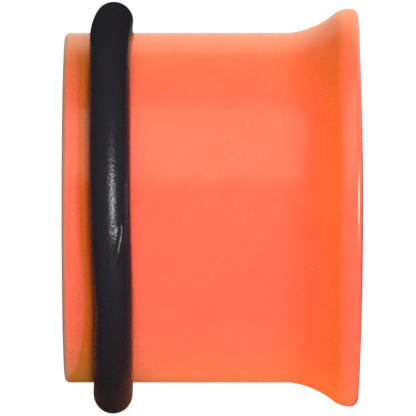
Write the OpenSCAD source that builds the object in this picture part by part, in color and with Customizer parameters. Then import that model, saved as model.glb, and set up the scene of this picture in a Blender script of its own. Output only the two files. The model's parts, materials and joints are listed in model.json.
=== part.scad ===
// Single-flare ear plug with an O-ring, lying on its side.
// The plug's axis lies along X, with the flat back at -X and the flared front at +X.
// The origin is on the ground, under the middle of the whole piece.

/* [Plug] */
// Barrel diameter, the gauge of the plug
barrel_d = 14; // [10:0.5:20]
// Length over all, from the flat back to the crown of the front
plug_len = 11.9; // [9:0.1:16]
// Rounding of the back edge
back_round = 0.22; // [0.1:0.01:0.3]

/* [Flare] */
// Diameter of the flared rim, over that of the barrel
flare_over_barrel = 1.94; // [1:0.01:2.4]
// Radius of the hollow curve that sweeps out to the rim
flare_curve_r = 3.5; // [3:0.1:4]
// Angle between the barrel and the start of that curve, a faint crease
flare_start_angle = 7.5; // [0:0.5:10]
// Rounding of the rim on its barrel side
rim_back_round = 1; // [0.5:0.1:1.2]
// Straight land on the rim, between its two roundings
rim_land = 0.05; // [0:0.01:1]
// Rounding of the rim on its front side
rim_front_round = 0.29; // [0.1:0.01:0.4]
// Height of the domed front face over the rim
front_crown = 0.2; // [0.1:0.01:0.25]

/* [O-ring] */
// Thickness of the ring's round section
ring_section_d = 1.6; // [1:0.1:1.8]
// How far the ring is sunk in its groove
ring_sink = 0.35; // [0.2:0.01:0.4]
// Distance from the back to the middle of the ring
ring_pos = 1.9; // [1.5:0.1:4]
// Clearance between the ring and its groove
ring_gap = 0.05; // [0.02:0.01:0.1]

/* [Smoothness] */
// Facets round the plug's axis
axis_facets = 96; // [48:8:160]
// Steps along the longest curve of the profile
curve_steps = 12; // [6:1:20]

/* [Hidden] */

section_facets = 48;
short_curve_steps = 6;

barrel_r = barrel_d / 2;
flare_rise = flare_over_barrel / 2;
flare_r = barrel_r + flare_rise;

// The front is a shallow ball cap, and the front rounding touches both the cap and the rim
dome_r = (flare_r * flare_r + front_crown * front_crown) / (2 * front_crown);
dome_centre_z = plug_len - dome_r;
rim_front_centre_r = flare_r - rim_front_round;
rim_front_reach = dome_r - rim_front_round;
rim_front_centre = [
    rim_front_centre_r,
    dome_centre_z + sqrt(rim_front_reach * rim_front_reach - rim_front_centre_r * rim_front_centre_r)
];
dome_edge_angle = acos(rim_front_centre_r / rim_front_reach);

// The hollow curve and the rounding behind the rim meet on one tangent, at this angle to the axis
flare_end_angle = acos(
    (flare_curve_r * cos(flare_start_angle) + rim_back_round - flare_rise)
    / (flare_curve_r + rim_back_round)
);
rim_back_centre = [
    flare_r - rim_back_round,
    rim_front_centre[1] - rim_land
];
flare_curve_centre = [
    barrel_r + flare_curve_r * cos(flare_start_angle),
    rim_back_centre[1] - (flare_curve_r + rim_back_round) * sin(flare_end_angle)
];

ring_section_r = ring_section_d / 2;
ring_centre_r = barrel_r + ring_section_r - ring_sink;
ring_outer_r = ring_centre_r + ring_section_r;

// Points of an arc about a centre, from one angle to another, both ends included
function arc(centre, radius, from, to, steps) = [
    for (i = [0:steps])
        let (a = from + (to - from) * i / steps)
        centre + radius * [cos(a), sin(a)]
];

// Half section of the plug: distance from the axis, then height over the back face
plug_profile = concat(
    [[0, 0]],
    arc([barrel_r - back_round, back_round], back_round, -90, 0, short_curve_steps),
    arc(flare_curve_centre, flare_curve_r, 180 - flare_start_angle, 180 - flare_end_angle, curve_steps),
    arc(rim_back_centre, rim_back_round, -flare_end_angle, 0, short_curve_steps),
    arc(rim_front_centre, rim_front_round, 0, dome_edge_angle, short_curve_steps),
    arc([0, dome_centre_z], dome_r, dome_edge_angle, 90, curve_steps)
);

// Lays a piece that was turned about Z on its side, on the lowest point of the ring
module laid_down() {
    translate([-plug_len / 2, 0, ring_outer_r])
        rotate([0, 90, 0])
        children();
}

// Solid body: flat back, straight barrel with a round groove, flared rim and domed front
module plug() {
    color([1, 0.42, 0.28])
        laid_down()
        rotate_extrude($fn = axis_facets)
        difference() {
            polygon(plug_profile);
            translate([ring_centre_r, ring_pos])
                circle(r = ring_section_r + ring_gap, $fn = section_facets);
        }
}

// Soft ring that sits in the groove and holds the plug from behind
module o_ring() {
    color([0.13, 0.13, 0.14])
        laid_down()
        rotate_extrude($fn = axis_facets)
        translate([ring_centre_r, ring_pos])
        circle(r = ring_section_r, $fn = section_facets);
}

plug();
o_ring();
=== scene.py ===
import json
import math

import bpy
import numpy as np
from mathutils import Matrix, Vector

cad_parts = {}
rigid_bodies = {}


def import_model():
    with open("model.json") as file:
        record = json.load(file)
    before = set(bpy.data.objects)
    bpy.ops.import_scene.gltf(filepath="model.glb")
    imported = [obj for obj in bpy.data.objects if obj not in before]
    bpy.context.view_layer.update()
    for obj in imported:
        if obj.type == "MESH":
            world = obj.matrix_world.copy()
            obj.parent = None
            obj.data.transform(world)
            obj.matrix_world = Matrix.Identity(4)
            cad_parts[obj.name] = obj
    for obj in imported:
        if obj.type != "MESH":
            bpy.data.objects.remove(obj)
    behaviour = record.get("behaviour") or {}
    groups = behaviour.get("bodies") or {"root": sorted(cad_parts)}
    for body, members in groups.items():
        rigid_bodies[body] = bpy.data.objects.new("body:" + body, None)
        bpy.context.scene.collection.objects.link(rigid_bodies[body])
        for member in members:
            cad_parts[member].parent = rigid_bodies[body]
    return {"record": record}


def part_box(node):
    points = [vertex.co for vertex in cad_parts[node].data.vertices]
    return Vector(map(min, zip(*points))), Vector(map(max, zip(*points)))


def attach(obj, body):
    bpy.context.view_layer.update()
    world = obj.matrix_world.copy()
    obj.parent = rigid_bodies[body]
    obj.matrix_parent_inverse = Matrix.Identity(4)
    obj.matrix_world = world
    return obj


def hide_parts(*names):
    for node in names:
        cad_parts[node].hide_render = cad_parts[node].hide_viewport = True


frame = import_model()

# Ear plug gauge: a coral plug lying on its side, with a black O-ring near its back.
# Everything is in metres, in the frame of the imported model: X runs along the plug, from back to front.

mm = 0.001
tau = 2 * math.pi
scene = bpy.context.scene
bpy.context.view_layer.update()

plugLow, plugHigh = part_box("plug")
ringLow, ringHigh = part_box("o_ring")
mounts = {mount["name"]: mount for mount in frame["record"]["mounts"]}

backX = plugLow.x
plugLength = plugHigh.x - plugLow.x
rimRadius = (plugHigh.z - plugLow.z) / 2
barrelRadius = mounts["lobe_seat"]["dims"]["r_mm"] * mm
axisHeight = mounts["lobe_seat"]["pos_m"][2]
ringSectionRadius = (ringHigh.x - ringLow.x) / 2
ringOuterRadius = ringHigh.z - axisHeight
ringX = (ringHigh.x + ringLow.x) / 2

# The camera looks square across the plug, a little from above
cameraLook = {
    "distance": 276.4 * mm,
    "viewWidth": 16.66 * mm,  # seen across the plug's axis
    "aimX": -0.225 * mm,
    "aimBelowAxis": 0.012 * mm,
    "elevation": 3.0,  # degrees above the horizon
    "sensor": 36.0,
    "nearest": 10 * mm,  # nothing nearer or farther than these two is seen
    "farthest": 20.0,
}


def aroundPoint(azimuth, elevation, distance):
    # Point at a distance from the plug's axis: azimuth turns from the camera's side (-Y) towards +X,
    # elevation is above the horizon, both in degrees
    turn = math.radians(azimuth)
    lift = math.radians(elevation)
    return (
        distance * math.sin(turn) * math.cos(lift),
        -distance * math.cos(turn) * math.cos(lift),
        axisHeight + distance * math.sin(lift),
    )


def makeCamera(look):
    # The lens is sensor width times distance over view width, so the view width fits the frame at the axis
    data = bpy.data.cameras.new("camera")
    data.sensor_width = look["sensor"]
    data.lens = look["sensor"] * look["distance"] / look["viewWidth"]
    data.clip_start = look["nearest"]
    data.clip_end = look["farthest"]
    camera = bpy.data.objects.new("camera", data)
    tilt = math.radians(look["elevation"])
    x, y, z = aroundPoint(0, look["elevation"], look["distance"])
    drop = look["aimBelowAxis"]
    camera.location = (look["aimX"], y - drop * math.sin(tilt), z - drop * math.cos(tilt))
    camera.rotation_euler = (math.pi / 2 - tilt, 0, 0)
    scene.collection.objects.link(camera)
    scene.camera = camera


makeCamera(cameraLook)
print("camera in place")

# Soft boxes: direction from the plug and angle that each side spans, in degrees, brightness and colour.
# The key comes from the front right, and boxes of several tints fill in round it. A box can light only the
# surface or show only as gloss. It lights the plug alone, or the piece that "on" names alone.
softBoxes = {
    "key": {
        "azimuth": 37, "elevation": -1, "wide": 4, "high": 44,
        "brightness": 36.0, "color": (0.87, 0.59, 1.0), "gloss": False,
    },
    "front": {
        "azimuth": 0, "elevation": -9, "wide": 50, "high": 30,
        "brightness": 5.3, "color": (1.0, 0.57, 0.64), "gloss": False,
    },
    "above": {
        "azimuth": -35, "elevation": 66, "wide": 60, "high": 40,
        "brightness": 3.25, "color": (0.62, 1.0, 0.6), "gloss": False,
    },
    "below": {
        "azimuth": 0, "elevation": -50, "wide": 60, "high": 40,
        "brightness": 2.3, "color": (0.2, 1.0, 0.74), "gloss": False,
    },
    "right": {
        "azimuth": 75, "elevation": 20, "wide": 30, "high": 38,
        "brightness": 4.5, "color": (0.95, 0.42, 0.85), "gloss": False,
    },
    "left": {
        "azimuth": -60, "elevation": 10, "wide": 40, "high": 38,
        "brightness": 1.2, "color": (1.0, 0.12, 0.06), "gloss": False,
    },
    "backHigh": {
        "azimuth": 150, "elevation": 50, "wide": 50, "high": 40,
        "brightness": 5.7, "color": (0.58, 1.0, 0.55), "gloss": False,
    },
    "backLow": {
        "azimuth": 180, "elevation": -50, "wide": 60, "high": 40,
        "brightness": 4.9, "color": (0.36, 1.0, 0.58), "gloss": False,
    },
    "band": {
        "azimuth": 7, "elevation": 46, "wide": 72, "high": 50,
        "brightness": 1.4, "color": (1.0, 1.0, 0.8), "surface": False,
    },
    "backBand": {
        "azimuth": 160, "elevation": 35, "wide": 60, "high": 50,
        "brightness": 0.3, "color": (1.0, 1.0, 0.3), "surface": False,
    },
    "edge": {
        "azimuth": 76, "elevation": 2, "wide": 10, "high": 16,
        "brightness": 54.0, "color": (1.0, 0.95, 0.9), "surface": False,
    },
    "back": {
        "azimuth": 195, "elevation": 0, "wide": 60, "high": 30,
        "brightness": 4.5, "color": (1.0, 0.5, 0.75), "gloss": False,
    },
    "backLeft": {
        "azimuth": -125, "elevation": 0, "wide": 40, "high": 30,
        "brightness": 2.2, "color": (1.0, 0.85, 0.95), "gloss": False,
    },
    "roomBack": {
        "azimuth": 153, "elevation": 0, "wide": 115, "high": 115,
        "brightness": 0.52, "color": (1.0, 0.97, 1.0),
    },
    "ringFront": {
        "azimuth": 0, "elevation": 12, "wide": 90, "high": 126,
        "brightness": 2.8, "color": (1.0, 0.98, 1.0), "gloss": False, "on": "ring_body",
    },
    "ringBack": {
        "azimuth": 180, "elevation": 15, "wide": 90, "high": 90,
        "brightness": 2.6, "color": (1.0, 0.98, 1.0), "gloss": False, "on": "ring_body",
    },
    "ringEdge": {
        "azimuth": 165, "elevation": -4, "wide": 8, "high": 6,
        "brightness": 3.5, "color": (1.0, 1.0, 1.0), "surface": False, "on": "ring_body",
    },
    "streakFade": {
        "azimuth": 13, "elevation": 8, "wide": 5, "high": 64,
        "brightness": 19.0, "color": (1.0, 1.0, 1.0), "surface": False, "on": "ring_body",
    },
    "streak": {
        "azimuth": 13, "elevation": 6, "wide": 3, "high": 25,
        "brightness": 590.0, "color": (1.0, 1.0, 0.97), "surface": False, "on": "ring_body",
    },
}
softBoxDistance = 400 * mm

# Room light: dim and even. The camera itself sees it as white.
roomLook = {"brightness": 0.02}


def makeSoftBox(name, box):
    # Side = 2 x distance x tan(half the angle), and power = pi x brightness x area. A box without gloss is
    # sampled from its own face alone, as the floor would hide a low box from rays that leave the surface.
    wide = 2 * softBoxDistance * math.tan(math.radians(box["wide"]) / 2)
    high = 2 * softBoxDistance * math.tan(math.radians(box["high"]) / 2)
    data = bpy.data.lights.new(name, "AREA")
    data.shape = "RECTANGLE"
    data.size = wide
    data.size_y = high
    data.energy = math.pi * box["brightness"] * wide * high
    data.color = box["color"]
    light = bpy.data.objects.new(name, data)
    light.location = aroundPoint(box["azimuth"], box["elevation"], softBoxDistance)
    light.rotation_euler = (
        math.pi / 2 - math.radians(box["elevation"]), 0, math.radians(box["azimuth"])
    )
    light.visible_camera = False
    light.visible_diffuse = box.get("surface", True)
    light.visible_glossy = box.get("gloss", True)
    data.cycles.use_multiple_importance_sampling = light.visible_glossy
    scene.collection.objects.link(light)
    return light


def makeRoom(look):
    # Brightness: 1 for the rays that come straight from the camera, and the room's own for all others
    world = bpy.data.worlds.new("room")
    scene.world = world
    world.use_nodes = True
    tree = world.node_tree
    background = tree.nodes["Background"]
    seen = tree.nodes.new("ShaderNodeLightPath")
    brightest = tree.nodes.new("ShaderNodeMath")
    brightest.operation = "MAXIMUM"
    brightest.inputs[0].default_value = look["brightness"]
    tree.links.new(seen.outputs["Is Camera Ray"], brightest.inputs[1])
    tree.links.new(brightest.outputs[0], background.inputs["Strength"])
    background.inputs["Color"].default_value = (1, 1, 1, 1)


lights = {boxName: makeSoftBox(boxName, box) for boxName, box in softBoxes.items()}
makeRoom(roomLook)
scene.view_settings.view_transform = "Standard"
print("lights in place")


def only(source, name, receivers, blockers=None):
    # Keeps the light of a lamp or of a glowing sheet to the receivers, and its shadows to the blockers
    lit = bpy.data.collections.new(name)
    for piece in receivers:
        lit.objects.link(piece)
    source.light_linking.receiver_collection = lit
    if blockers is not None:
        shading = bpy.data.collections.new(name + "_shade")
        for piece in blockers:
            shading.objects.link(piece)
        source.light_linking.blocker_collection = shading


floorLook = {
    "halfSide": 3.0,
    "color": (0.9, 0.9, 0.9, 1),
    "glow": 1.05,
    "roughness": 0.9,
    "specular": 0.1,
}


def makeFloor(look):
    # A flat square sheet at height 0, glowing like a light table. The glow is only seen: it lights nothing.
    half = look["halfSide"]
    mesh = bpy.data.meshes.new("floor")
    corners = [(-half, -half, 0), (half, -half, 0), (half, half, 0), (-half, half, 0)]
    mesh.from_pydata(corners, [], [(0, 1, 2, 3)])
    floor = bpy.data.objects.new("floor", mesh)
    scene.collection.objects.link(floor)
    material = bpy.data.materials.new("floor_paper")
    material.use_nodes = True
    shader = material.node_tree.nodes["Principled BSDF"]
    shader.inputs["Base Color"].default_value = look["color"]
    shader.inputs["Roughness"].default_value = look["roughness"]
    shader.inputs["Specular IOR Level"].default_value = look["specular"]
    shader.inputs["Emission Color"].default_value = (1, 1, 1, 1)
    shader.inputs["Emission Strength"].default_value = look["glow"]
    mesh.materials.append(material)
    only(floor, "floor_only", [floor])


makeFloor(floorLook)
print("floor in place")


def newMaterial(name):
    # A new material, with its node tree and its Principled shader
    material = bpy.data.materials.new(name)
    material.use_nodes = True
    tree = material.node_tree
    return material, tree, tree.nodes["Principled BSDF"]


def addNode(tree, kind, values=(), **settings):
    # A node with its settings and its input values, given as (input, value) pairs
    node = tree.nodes.new(kind)
    for name, value in settings.items():
        setattr(node, name, value)
    for name, value in values:
        node.inputs[name].default_value = value
    return node


def noiseField(tree, coords, size, detail=2.0, roughness=0.5):
    # Noise whose lumps are about `size` metres across
    noise = addNode(
        tree, "ShaderNodeTexNoise",
        [("Scale", 1 / size), ("Detail", detail), ("Roughness", roughness)],
    )
    tree.links.new(coords, noise.inputs["Vector"])
    return noise.outputs["Fac"]


def remap(tree, value, low, high, toLow, toHigh):
    # The value's range low to high becomes toLow to toHigh, held at its ends
    node = addNode(
        tree, "ShaderNodeMapRange",
        [("From Min", low), ("From Max", high), ("To Min", toLow), ("To Max", toHigh)],
    )
    tree.links.new(value, node.inputs["Value"])
    return node.outputs["Result"]


def mixColors(tree, amount, first, second):
    # Blend of two colours, each given as a value or as an output of another node
    node = addNode(tree, "ShaderNodeMix", data_type="RGBA")
    tree.links.new(amount, node.inputs["Factor"])
    for name, color in (("A", first), ("B", second)):
        socket = [s for s in node.inputs if s.name == name and s.type == "RGBA"][0]
        if isinstance(color, tuple):
            socket.default_value = color
        else:
            tree.links.new(color, socket)
    return [s for s in node.outputs if s.type == "RGBA"][0]


def addBump(tree, height, distance):
    # Bump from a height field that runs from 0 to 1, where 1 stands for the distance
    node = addNode(tree, "ShaderNodeBump", [("Distance", distance)])
    tree.links.new(height, node.inputs["Height"])
    return node.outputs["Normal"]


def closedGrid(name, points, along, around, poles=None):
    # A closed mesh from a grid of points. Rows follow each other along the piece, and columns wrap round it.
    # With two poles, a fan closes each end. Without them the rows wrap round as well, into a ring.
    # `along` and `around` place the rows and columns in the piece's UV map, from 0 to 1.
    rows, columns = points.shape[:2]
    index = np.arange(rows * columns).reshape(rows, columns)
    if poles is None:
        lower, upper = index, np.roll(index, -1, axis=0)
        vertices = points.reshape(-1, 3)
        v = np.append(along, 1.0)
    else:
        lower, upper = index[:-1], index[1:]
        vertices = np.concatenate([points.reshape(-1, 3), poles])
        v = along
    u = np.append(around, 1.0)
    quads = np.stack([lower, upper, np.roll(upper, -1, axis=1), np.roll(lower, -1, axis=1)], axis=-1)
    quadU = np.broadcast_to(np.stack([u[:-1], u[:-1], u[1:], u[1:]], axis=-1)[None], quads.shape)
    quadV = np.broadcast_to(np.stack([v[:-1], v[1:], v[1:], v[:-1]], axis=-1)[:, None], quads.shape)
    corners = [quads.ravel()]
    cornerUv = [np.stack([quadU, quadV], axis=-1).reshape(-1, 2)]
    sizes = [np.full(lower.size, 4)]
    if poles is not None:
        middleU = (u[:-1] + u[1:]) / 2
        for edge, pole, edgeV, poleV in ((index[0], 0, v[0], 0.0), (index[-1], 1, v[-1], 1.0)):
            tip = np.full(columns, rows * columns + pole)
            ahead = np.roll(edge, -1)
            order = (tip, edge, ahead) if pole == 0 else (edge, tip, ahead)
            fanU = (middleU, u[:-1], u[1:]) if pole == 0 else (u[:-1], middleU, u[1:])
            fanV = (poleV, edgeV, edgeV) if pole == 0 else (edgeV, poleV, edgeV)
            corners.append(np.stack(order, axis=-1).ravel())
            fan = np.stack([np.stack(fanU, axis=-1), np.broadcast_to(fanV, (columns, 3))], axis=-1)
            cornerUv.append(fan.reshape(-1, 2))
            sizes.append(np.full(columns, 3))
    sizes = np.concatenate(sizes)
    mesh = bpy.data.meshes.new(name)
    mesh.vertices.add(len(vertices))
    mesh.vertices.foreach_set("co", vertices.astype(np.float32).ravel())
    mesh.loops.add(int(sizes.sum()))
    mesh.loops.foreach_set("vertex_index", np.concatenate(corners).astype(np.int32))
    mesh.polygons.add(len(sizes))
    mesh.polygons.foreach_set("loop_start", (np.cumsum(sizes) - sizes).astype(np.int32))
    mesh.polygons.foreach_set("use_smooth", np.ones(len(sizes), bool))
    layer = mesh.uv_layers.new(name="surface")
    mesh.update(calc_edges=True)
    layer.data.foreach_set("uv", np.concatenate(cornerUv).astype(np.float32).ravel())
    piece = bpy.data.objects.new(name, mesh)
    scene.collection.objects.link(piece)
    return piece


def aroundAxis(x, radius, rise):
    # Points at a distance from the plug's axis. Rise is the angle above the horizon on the camera's side.
    x, radius, rise = np.broadcast_arrays(x, radius, rise)
    return np.stack([x, -radius * np.cos(rise), axisHeight + radius * np.sin(rise)], axis=-1)


# How the ring has crept along the plug: degrees below the line that faces the camera, then in mm the
# distance towards the front, how much thinner the rubber is drawn, and how far the ring's painted shadow
# reaches on the plastic behind the ring. It bulges to the front, and is thinnest, about 30 degrees down.
ringWave = {
    "belowLevel": [-110, -100, -90, -82, -75, -66, -46, -30, -8, 8, 18, 25, 32, 39, 50, 64, 80, 130, 200],
    "creep": [
        -0.01, 0.01, 0.06, 0.06, -0.01, -0.07, -0.046, -0.033, -0.008,
        0.028, 0.078, 0.11, 0.142, 0.12, 0.105, 0.06, 0.034, 0.0, 0.02,
    ],
    "squeeze": [
        0, 0.01, 0.02, 0.02, 0.01, 0, 0, 0, 0,
        0.004, 0.022, 0.042, 0.075, 0.06, 0.042, 0.044, 0.02, 0, 0,
    ],
    "shade": [
        0.56, 0.56, 0.56, 1.3, 1.0, 0.75, 0.56, 0.56, 0.55,
        0.52, 0.47, 0.46, 0.46, 0.47, 0.56, 0.8, 1.3, 0.56, 0.56,
    ],
    "blend": 3.0,  # degrees over which the table is smoothed
    "step": 0.5,  # degrees between the points where it is worked out
    "reach": 20,  # steps to each side that the smoothing takes in
}


def bell(distance, width):
    # Bell curve of height 1: e to the power of minus half the square of distance over width
    return np.exp(-0.5 * (distance / width) ** 2)


def ringTable(column, rise):
    # A column of the wave table at the given rises: straight steps between its rows, closed round the ring,
    # then averaged with bell-shaped weights
    fine = np.arange(0, 360, ringWave["step"])
    table = np.interp(fine, ringWave["belowLevel"], ringWave[column], period=360)
    offsets = np.arange(-ringWave["reach"], ringWave["reach"] + 1)
    weights = bell(offsets * ringWave["step"], ringWave["blend"])
    weights = weights / weights.sum()
    smooth = sum(weight * np.roll(table, offset) for offset, weight in zip(offsets, weights))
    below = cameraLook["elevation"] - np.degrees(rise)
    return np.interp(below, fine, smooth, period=360) * mm


plugShape = {
    "backRound": 0.22 * mm,
    "grooveGap": 0.05 * mm,
    "flareCurve": 3.5 * mm,
    "flareStart": 7.5,  # degrees between the barrel and the start of the hollow curve
    "rimBackRound": 1.0 * mm,
    "rimLand": 0.05 * mm,
    "rimFrontRound": 0.29 * mm,
    "frontCrown": 0.2 * mm,
    "columns": 400,
    "grooveLip": 0.72 * mm,  # from the ring's middle line to the edge of its groove
    "creepFade": 0.4 * mm,  # distance from the ring over which the plug stops following its creep
    "creepFrom": 0.9,  # share of the barrel's radius beyond which the plug follows it
    "contactShadeReach": 0.3 * mm,  # how far behind the ring the nearly black painted contact shade reaches
    "shadeFrom": 0.85,  # share of the barrel's radius beyond which the painted shadow and contact shade can lie
    "shadeTop": (20.0, 46.0),  # degrees from the top, where the painted shadow begins and where it is full
    "edgeShadeFade": (0.12 * mm, 0.19 * mm),  # where the painted shade of the back edge fades out
    "edgeShadeReach": 1.4,  # how far in from the barrel's surface it goes, in radii of the back's rounding
    "steps": {
        "back": 12, "edge": 10, "behindRing": 10, "groove": 24, "barrel": 44,
        "flare": 36, "rimBack": 18, "rimFront": 14, "cap": 16,
    },
}


def arcPoints(centre, radius, start, end, steps):
    # Points of an arc as (distance from the axis, distance from the back), angles in degrees
    angle = np.radians(np.linspace(start, end, steps + 1))
    return np.stack([centre[0] + radius * np.cos(angle), centre[1] + radius * np.sin(angle)], axis=-1)


def linePoints(first, last, steps):
    # Points of a straight stretch, without its two ends
    share = np.linspace(0, 1, steps + 1)[1:-1, None]
    return np.array(first) * (1 - share) + np.array(last) * share


def plugProfile(shape):
    # Half section of the plug from the back's middle to the crown of the front: flat back, rounded edge,
    # barrel, round groove, barrel, hollow flare, rounded rim and the shallow ball cap of the front
    crown = shape["frontCrown"]
    capRadius = (rimRadius ** 2 + crown ** 2) / (2 * crown)
    capCentre = plugLength - capRadius
    frontRound = shape["rimFrontRound"]
    frontCentreRadius = rimRadius - frontRound
    frontReach = capRadius - frontRound
    frontCentre = (frontCentreRadius, capCentre + math.sqrt(frontReach ** 2 - frontCentreRadius ** 2))
    capEdge = math.degrees(math.acos(frontCentreRadius / frontReach))
    backRim = shape["rimBackRound"]
    backCentre = (rimRadius - backRim, frontCentre[1] - shape["rimLand"])
    curve = shape["flareCurve"]
    start = math.radians(shape["flareStart"])
    end = math.acos((curve * math.cos(start) + backRim - (rimRadius - barrelRadius)) / (curve + backRim))
    curveCentre = (
        barrelRadius + curve * math.cos(start),
        backCentre[1] - (curve + backRim) * math.sin(end),
    )
    endAngle = math.degrees(end)
    grooveRadius = ringSectionRadius + shape["grooveGap"]
    grooveCentre = (ringOuterRadius - ringSectionRadius, ringX - backX)
    lipAngle = math.degrees(math.acos((barrelRadius - grooveCentre[0]) / grooveRadius))
    steps = shape["steps"]
    edge = arcPoints(
        (barrelRadius - shape["backRound"], shape["backRound"]), shape["backRound"], -90, 0, steps["edge"]
    )
    groove = arcPoints(grooveCentre, grooveRadius, -lipAngle, lipAngle - 360, steps["groove"])
    flare = arcPoints(curveCentre, curve, 180 - shape["flareStart"], 180 - endAngle, steps["flare"])
    rimBack = arcPoints(backCentre, backRim, -endAngle, 0, steps["rimBack"])
    rimFront = arcPoints(frontCentre, frontRound, 0, capEdge, steps["rimFront"])
    cap = arcPoints((0, capCentre), capRadius, capEdge, 90, steps["cap"])
    return np.concatenate([
        linePoints((0, 0), edge[0], steps["back"]), edge,
        linePoints(edge[-1], groove[0], steps["behindRing"]), groove,
        linePoints(groove[-1], flare[0], steps["barrel"]), flare,
        rimBack[1:], rimFront, cap[1:-1],
    ])


def makePlug(shape):
    # The profile turned about the axis. Near the groove its points follow the ring's creep, fading out on
    # each side. Three attributes from 0 to 1 on its points mask painted shade: the ring's painted shadow and
    # its contact shade rise towards the ring, over the table's reach and the contact's, and the last covers
    # the back edge.
    profile = plugProfile(shape)
    radius, fromBack = profile[:, :1], profile[:, 1:]
    rise = np.linspace(-math.pi, math.pi, shape["columns"], endpoint=False)[None, :]
    away = np.abs(fromBack - (ringX - backX)) - ringSectionRadius
    follow = np.clip(1 - away / shape["creepFade"], 0, 1)
    follow = follow * (radius > barrelRadius * shape["creepFrom"]) * (fromBack > 0)
    x = backX + fromBack + follow * ringTable("creep", rise)
    points = aroundAxis(x, radius, rise)
    steps = np.hypot(np.diff(radius[:, 0], prepend=0), np.diff(fromBack[:, 0], prepend=0))
    along = np.cumsum(steps)
    along = along / (along[-1] + radius[-1, 0])
    around = np.arange(shape["columns"]) / shape["columns"]
    poles = np.array([(backX, 0, axisHeight), (backX + plugLength, 0, axisHeight)])
    plug = closedGrid("plug_body", points, along, around, poles)
    # Masks of the ring's painted shadow and of its nearly black painted contact shade, behind the ring
    behind = ringX + ringTable("creep", rise) - shape["grooveLip"] - x
    fromTop = np.abs(np.degrees(rise) - 90)
    topStart, topEnd = shape["shadeTop"]
    present = np.clip((fromTop - topStart) / (topEnd - topStart), 0, 1)
    present = present * (radius > barrelRadius * shape["shadeFrom"])
    present = present * (fromBack < ringX - backX + shape["grooveLip"])
    beside = present * np.clip(1 - behind / ringTable("shade", rise), 0, 1)
    contact = present * np.clip(1 - behind / shape["contactShadeReach"], 0, 1)
    # Mask of the painted shade on the rounded back edge
    fadeStart, fadeEnd = shape["edgeShadeFade"]
    backEdgeShade = np.clip((fadeEnd - fromBack) / (fadeEnd - fadeStart), 0, 1)
    backEdgeShade = backEdgeShade * (radius > barrelRadius - shape["edgeShadeReach"] * shape["backRound"])
    backEdgeShade = np.broadcast_to(backEdgeShade, x.shape)
    # The masks of painted shade are stored as point attributes
    for name, values in (("painted_ring_shadow", beside), ("ring_contact", contact), ("back_edge", backEdgeShade)):
        shade = plug.data.attributes.new(name, "FLOAT", "POINT")
        shade.data.foreach_set("value", np.append(values.ravel(), [0, 0]).astype(np.float32))
    return plug


ringShape = {
    "columns": 900,
    "rows": 104,
    "crowdColumns": 0.75,  # share by which columns stand closer on the camera's side
    "crowdRows": 0.65,  # share by which rows stand closer on the outer side
    "seed": 11,
    "lumpSize": 0.22 * mm,
    "lumpDepth": 0.002 * mm,
    "lumpLimit": 1.5,  # lumps are cut off at this many times their usual size
    "pitCount": 60,
    "pitSize": 0.07 * mm,
    "pitSpread": (0.5, 1.2),  # smallest and largest share of that size
    "pitDepth": 0.006 * mm,
    "pitBelow": (-60, 60),  # pits lie in this range of degrees below the line that faces the camera
    "pitSide": (-50, 60),  # and in this one round the section, from its outer line to the front
    "creaseBelow": [3.6, 5.2, 7.5, 10.7, 14.5, 16.5],  # degrees, as for the pits
    "creaseSide": [33.0, 30.0, 25.0, 15.5, 2.5, -2.0],
    "creaseFade": (3.0, 4.0),  # degrees over which it fades in at its upper end and out at its lower one
    "creaseDull": 1.3,  # width of its dull strip, in widths of the crease
    "creaseWidth": 0.024 * mm,
    "creaseDepth": 0.06 * mm,
    "flapHeight": 0.058 * mm,
    "flapWidth": 0.17 * mm,
    "lipHeight": 0.022 * mm,
    "lipWidth": 0.07 * mm,
}


def crowdedAngles(count, share):
    # Full turn of angles with closer steps near 0: angle - share x sin(angle)
    even = np.linspace(-math.pi, math.pi, count, endpoint=False)
    return even - share * np.sin(even)


def smoothNoise(shape, seed, cells):
    # Closed smooth noise on a grid: seeded random numbers, kept only up to the given number of cells
    # each way by a bell-shaped filter on their waves
    field = np.random.default_rng(seed).standard_normal(shape)
    waves = np.fft.rfft2(field)
    down = np.fft.fftfreq(shape[0]) * shape[0] / cells[0]
    across = np.fft.rfftfreq(shape[1]) * shape[1] / cells[1]
    waves *= np.exp(-(down[:, None] ** 2 + across[None, :] ** 2))
    smooth = np.fft.irfft2(waves, s=shape)
    return smooth / smooth.std()


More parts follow.
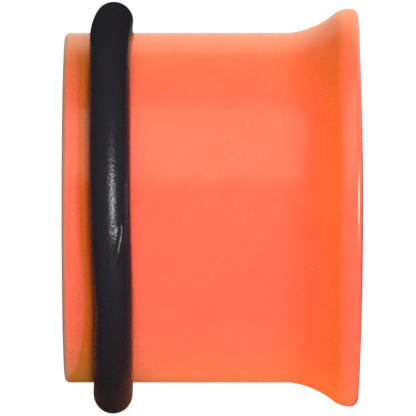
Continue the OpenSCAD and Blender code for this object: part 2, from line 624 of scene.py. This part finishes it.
def makeRing(shape):
    # A ring of round section whose middle line creeps along the plug: each point lies at the section's
    # radius, less its sink, from that line. Lumps, pits and the crease sink the surface. The flap and the
    # lip, on the two sides of the crease, raise it. The crease attribute is 1 in the crease and falls to 0
    # beside it.
    rise = crowdedAngles(shape["columns"], shape["crowdColumns"])[None, :]
    side = crowdedAngles(shape["rows"], shape["crowdRows"])[:, None]
    size = (shape["rows"], shape["columns"])
    sectionRadius = ringSectionRadius - ringTable("squeeze", rise)
    centreRadius = ringOuterRadius - sectionRadius
    lumpCells = (tau * ringSectionRadius / shape["lumpSize"], tau * centreRadius.max() / shape["lumpSize"])
    lumps = smoothNoise(size, shape["seed"], lumpCells)
    limit = shape["lumpLimit"]
    sink = shape["lumpDepth"] * (limit + np.clip(lumps, -limit, limit))
    below = cameraLook["elevation"] - np.degrees(rise)
    sideDegrees = np.degrees(side)
    random = np.random.default_rng(shape["seed"])
    pitBelow = random.uniform(*shape["pitBelow"], shape["pitCount"])
    pitSide = random.uniform(*shape["pitSide"], shape["pitCount"])
    pitSize = shape["pitSize"] * random.uniform(*shape["pitSpread"], shape["pitCount"])
    for oneBelow, oneSide, oneSize in zip(pitBelow, pitSide, pitSize):
        acrossPit = np.radians(below - oneBelow) * ringOuterRadius
        roundPit = np.radians(sideDegrees - oneSide) * sectionRadius
        sink = sink + shape["pitDepth"] * bell(np.hypot(acrossPit, roundPit), oneSize / 2)
    creaseSide = np.interp(below, shape["creaseBelow"], shape["creaseSide"])
    start, end = shape["creaseBelow"][0], shape["creaseBelow"][-1]
    fadeIn, fadeOut = shape["creaseFade"]
    present = np.clip((below - start) / fadeIn, 0, 1) * np.clip((end - below) / fadeOut, 0, 1)
    fromCrease = np.radians(sideDegrees - creaseSide) * sectionRadius
    sink = sink + present * shape["creaseDepth"] * bell(fromCrease, shape["creaseWidth"])
    flap = bell(fromCrease - shape["flapWidth"], shape["flapWidth"] / 2)
    lip = bell(fromCrease + shape["lipWidth"], shape["lipWidth"])
    sink = sink - present * shape["flapHeight"] * flap
    sink = sink - present * shape["lipHeight"] * lip
    surfaceRadius = sectionRadius - sink
    x = ringX + ringTable("creep", rise) + surfaceRadius * np.sin(side)
    radius = centreRadius + surfaceRadius * np.cos(side)
    around = np.arange(shape["columns"]) / shape["columns"]
    along = np.arange(shape["rows"]) / shape["rows"]
    ring = closedGrid("ring_body", aroundAxis(x, radius, rise), along, around)
    inCrease = present * bell(fromCrease, shape["creaseDull"] * shape["creaseWidth"])
    crease = ring.data.attributes.new("crease", "FLOAT", "POINT")
    crease.data.foreach_set("value", inCrease.astype(np.float32).ravel())
    return ring


plugFinish = {
    "color": (0.94, 0.177, 0.093, 1),
    "deepColor": (0.91, 0.151, 0.074, 1),
    # Painted shade and red bounce light of the flare's hollow, in deeper oranges
    "flareShadeColor": (0.96, 0.137, 0.053, 1),
    "flareStart": (2.3 * mm, 3.8 * mm),  # where the barrel's colour turns into the flare's painted shade and bounce light, along X
    "rimHollowShadeColor": (0.97, 0.166, 0.039, 1),
    "creaseStart": (3.9 * mm, 4.7 * mm),  # then into the painted shading of the hollow under the rim
    "flareEnd": (4.91 * mm, 5.14 * mm),  # and back into the barrel's, on the rim
    # Painted shadow of the ring on the plastic behind it, and its nearly black painted contact shade
    "paintedRingShadowColor": (0.76, 0.138, 0.022, 1),
    "contactShadeColor": (0.07, 0.022, 0.008, 1),
    "paintedShadowFull": 0.15,  # value of the painted shadow's mask from which its colour is full
    # Painted shade of the rounded back edge, dull and greyish
    "backEdgeShadeColor": (0.55, 0.25, 0.18, 1),
    "speckColor": (1.0, 0.23, 0.07, 1),
    "speckSpacing": 1.2 * mm,
    "speckEdge": (0.03, 0.05),  # a speck ends between these two shares of the spacing
    "cloudSize": 0.9 * mm,
    "cloudRange": (0.3, 0.7),  # values of the noise that give the first and the deeper coral
    "roughness": (0.18, 0.26),  # of the low and the high places
    "depthShare": 0.5,
    "depth": (0.12, 0.06, 0.04),  # how far red, green and blue light spreads inside, in mm
    "lumpSize": 0.09 * mm,
    "lumpRange": (0.3, 0.7),  # values of the noise that give the two roughnesses
    "lumpDepth": 0.0003 * mm,
    "mottleSize": 0.06 * mm,
    "mottleRange": (0.32, 0.68),  # values of the noise that give the darkest and lightest mottle
    "mottle": (0.87, 1.05),  # darkest and lightest share of the colour in the fine mottle
}


def coralPlastic(finish):
    # Satin moulded plastic: two close corals in soft clouds, a fine mottle, rare light specks and a
    # faintly lumpy polish. Its colour holds painted light and shade: painted shade and bounce light in the
    # hollow of the flare, painted shade on the rounded back edge, and the ring's painted shadow, nearly
    # black at the ring.
    material, tree, shader = newMaterial("coral_plastic")
    coords = addNode(tree, "ShaderNodeTexCoord").outputs["Object"]
    clouds = noiseField(tree, coords, finish["cloudSize"], detail=6.0, roughness=0.72)
    cloud = remap(tree, clouds, *finish["cloudRange"], 0.0, 1.0)
    body = mixColors(tree, cloud, finish["color"], finish["deepColor"])
    cells = addNode(tree, "ShaderNodeTexVoronoi", [("Scale", 1 / finish["speckSpacing"])])
    tree.links.new(coords, cells.inputs["Vector"])
    speck = remap(tree, cells.outputs["Distance"], *finish["speckEdge"], 1.0, 0.0)
    place = addNode(tree, "ShaderNodeSeparateXYZ")
    tree.links.new(coords, place.inputs[0])
    # Painted shade and bounce light in the flare's hollow, placed along X
    intoFlare = remap(tree, place.outputs["X"], *finish["flareStart"], 0.0, 1.0)
    outOfFlare = remap(tree, place.outputs["X"], *finish["flareEnd"], 1.0, 0.0)
    inFlare = addNode(tree, "ShaderNodeMath", operation="MULTIPLY")
    tree.links.new(intoFlare, inFlare.inputs[0])
    tree.links.new(outOfFlare, inFlare.inputs[1])
    inCrease = remap(tree, place.outputs["X"], *finish["creaseStart"], 0.0, 1.0)
    flare = mixColors(tree, inCrease, finish["flareShadeColor"], finish["rimHollowShadeColor"])
    body = mixColors(tree, inFlare.outputs[0], body, flare)
    # Painted shadow of the ring on the plastic behind it, then its nearly black painted contact shade
    beside = addNode(tree, "ShaderNodeAttribute", attribute_name="painted_ring_shadow").outputs["Fac"]
    beside = remap(tree, beside, 0.0, finish["paintedShadowFull"], 0.0, 1.0)
    body = mixColors(tree, beside, body, finish["paintedRingShadowColor"])
    contact = addNode(tree, "ShaderNodeAttribute", attribute_name="ring_contact").outputs["Fac"]
    body = mixColors(tree, contact, body, finish["contactShadeColor"])
    # Painted shade on the rounded back edge
    edge = addNode(tree, "ShaderNodeAttribute", attribute_name="back_edge").outputs["Fac"]
    body = mixColors(tree, edge, body, finish["backEdgeShadeColor"])
    body = mixColors(tree, speck, body, finish["speckColor"])
    fine = noiseField(tree, coords, finish["mottleSize"], detail=2.0)
    mottled = addNode(tree, "ShaderNodeVectorMath", operation="SCALE")
    tree.links.new(body, mottled.inputs[0])
    share = remap(tree, fine, *finish["mottleRange"], *finish["mottle"])
    tree.links.new(share, mottled.inputs["Scale"])
    tree.links.new(mottled.outputs[0], shader.inputs["Base Color"])
    lumps = noiseField(tree, coords, finish["lumpSize"], detail=3.0)
    polish = remap(tree, lumps, *finish["lumpRange"], *finish["roughness"])
    tree.links.new(polish, shader.inputs["Roughness"])
    tree.links.new(addBump(tree, lumps, finish["lumpDepth"]), shader.inputs["Normal"])
    shader.inputs["Subsurface Weight"].default_value = finish["depthShare"]
    shader.inputs["Subsurface Radius"].default_value = finish["depth"]
    shader.inputs["Subsurface Scale"].default_value = mm
    return material


ringFinish = {
    "color": (0.0124, 0.0118, 0.0148, 1),
    "roughness": (0.15, 0.37),  # of the low and the high places of the grain
    "specular": 0.08,  # low, so that the ring mirrors little of the plug
    "grainRange": (0.35, 0.65),  # values of the noise that give the two roughnesses
    "creaseRange": (0.1, 0.5),  # values of the crease attribute between which the shine goes
    "grainSize": 0.05 * mm,
    "grainDepth": 0.007 * mm,
}


def blackRubber(finish):
    # Dull black rubber: the fine grain breaks up the shine, and the inside of the crease has none
    material, tree, shader = newMaterial("black_rubber")
    coords = addNode(tree, "ShaderNodeTexCoord").outputs["Object"]
    shader.inputs["Base Color"].default_value = finish["color"]
    grain = noiseField(tree, coords, finish["grainSize"], detail=1.0)
    dull = remap(tree, grain, *finish["grainRange"], *finish["roughness"])
    crease = addNode(tree, "ShaderNodeAttribute", attribute_name="crease").outputs["Fac"]
    dullest = addNode(tree, "ShaderNodeMath", operation="MAXIMUM")
    tree.links.new(dull, dullest.inputs[0])
    tree.links.new(remap(tree, crease, *finish["creaseRange"], 0.0, 1.0), dullest.inputs[1])
    tree.links.new(dullest.outputs[0], shader.inputs["Roughness"])
    tree.links.new(addBump(tree, grain, finish["grainDepth"]), shader.inputs["Normal"])
    shader.inputs["Specular IOR Level"].default_value = finish["specular"]
    return material


def finishPiece(piece, material, node):
    # Gives a piece its material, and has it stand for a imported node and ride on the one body
    piece.data.materials.append(material)
    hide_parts(node)
    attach(piece, "root")


finishPiece(makePlug(plugShape), coralPlastic(plugFinish), "plug")
print("plug in place")
finishPiece(makeRing(ringShape), blackRubber(ringFinish), "o_ring")
print("ring in place")

pieces = [bpy.data.objects["plug_body"], bpy.data.objects["ring_body"]]
for boxName, box in softBoxes.items():
    only(lights[boxName], boxName + "_only", [bpy.data.objects[box.get("on", "plug_body")]], pieces)
print("lights kept to their pieces")
